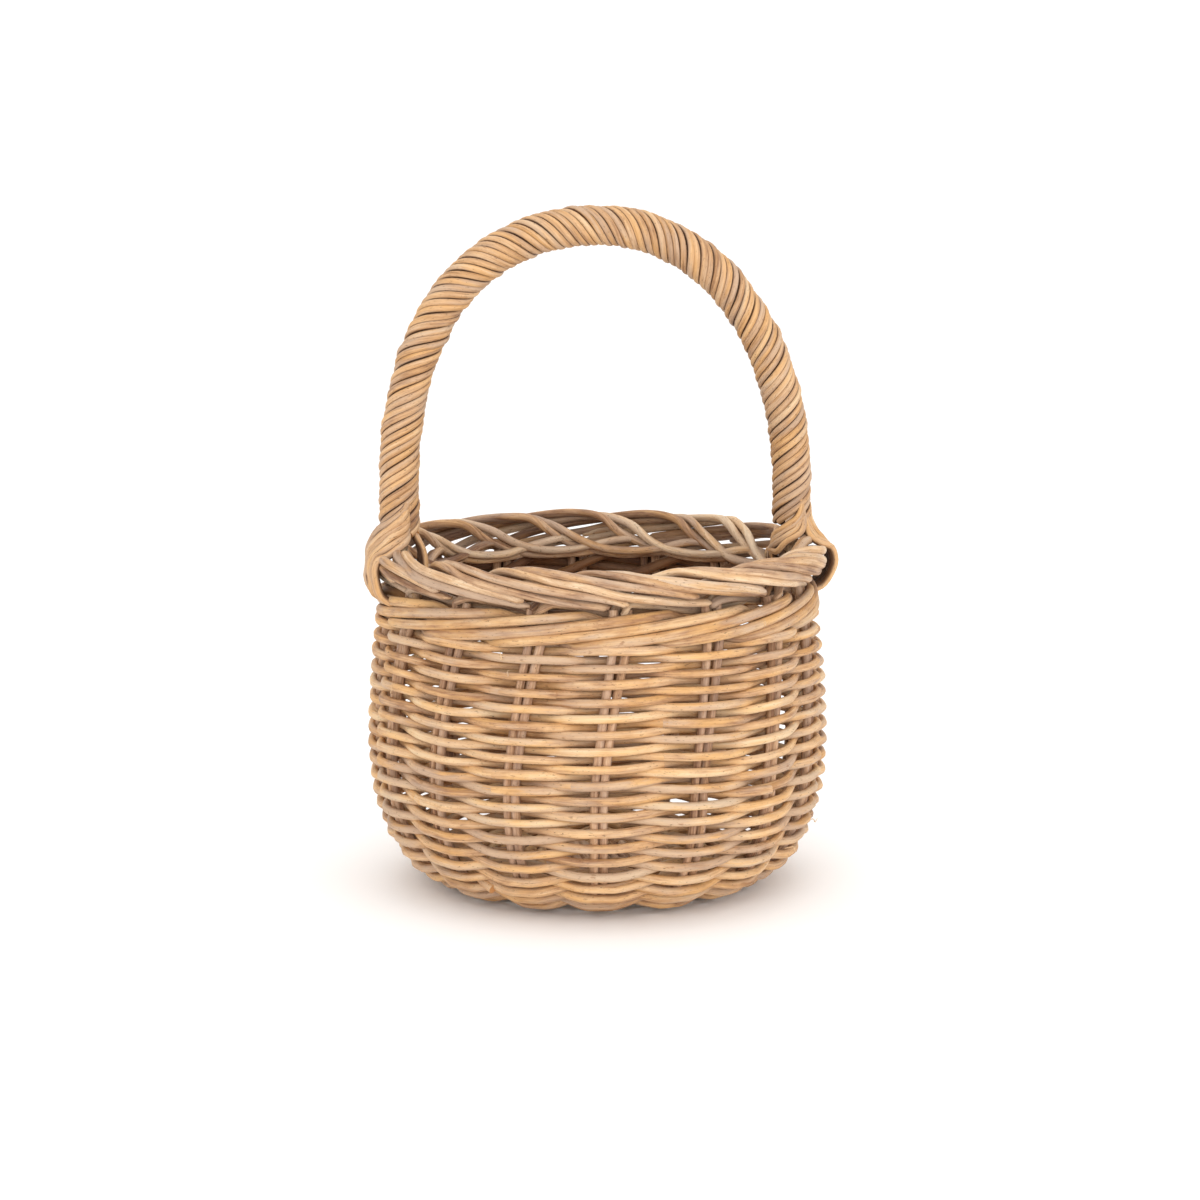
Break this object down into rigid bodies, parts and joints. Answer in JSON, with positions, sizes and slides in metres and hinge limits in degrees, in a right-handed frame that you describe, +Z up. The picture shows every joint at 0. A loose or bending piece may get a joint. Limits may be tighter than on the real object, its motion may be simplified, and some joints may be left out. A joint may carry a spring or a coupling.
{
  "type": "woven fruit basket",
  "caption": "Round bellied basket of woven rattan cane with a waled top, a rolled border and a fixed wrapped bow handle.",
  "frame": {"origin": "centre of the basket at the bottom of its base weave, on the surface it rests on", "axes": "+Z up through the crown of the handle, X along the handle's span, -Y towards the front"},
  "size_m": [0.203, 0.2004, 0.2965],
  "materials": {
    "stake_rattan": "satin",
    "weaver_cane": "satin",
    "wale_cane": "satin",
    "border_cane": "satin",
    "core_rod": "satin",
    "handle_wrap_cane": "satin"
  },
  "bodies": {
    "root": {"base_weave_over": "weaver_cane", "base_weave_under": "weaver_cane", "border_inner_roll": "border_cane", "border_outer_roll": "border_cane", "border_top_roll": "border_cane", "foot_lashing_inner_left": "handle_wrap_cane", "foot_lashing_inner_right": "handle_wrap_cane", "foot_lashing_outer_left": "handle_wrap_cane", "foot_lashing_outer_right": "handle_wrap_cane", "handle_core": "core_rod", "handle_wrap_crown": "handle_wrap_cane", "handle_wrap_left": "handle_wrap_cane", "handle_wrap_right": "handle_wrap_cane", "stake_x_1a": "stake_rattan", "stake_x_1b": "stake_rattan", "stake_x_2a": "stake_rattan", "stake_x_2b": "stake_rattan", "stake_x_3a": "stake_rattan", "stake_x_3b": "stake_rattan", "stake_x_4a": "stake_rattan", "stake_x_4b": "stake_rattan", "stake_y_1a": "stake_rattan", "stake_y_1b": "stake_rattan", "stake_y_2a": "stake_rattan", "stake_y_2b": "stake_rattan", "stake_y_3a": "stake_rattan", "stake_y_3b": "stake_rattan", "stake_y_4a": "stake_rattan", "stake_y_4b": "stake_rattan", "top_wale_1": "wale_cane", "top_wale_2": "wale_cane", "wall_weave_01": "weaver_cane", "wall_weave_02": "weaver_cane", "wall_weave_03": "weaver_cane", "wall_weave_04": "weaver_cane", "wall_weave_05": "weaver_cane", "wall_weave_06": "weaver_cane", "wall_weave_07": "weaver_cane", "wall_weave_08": "weaver_cane", "wall_weave_09": "weaver_cane"}
  },
  "joints": []
}
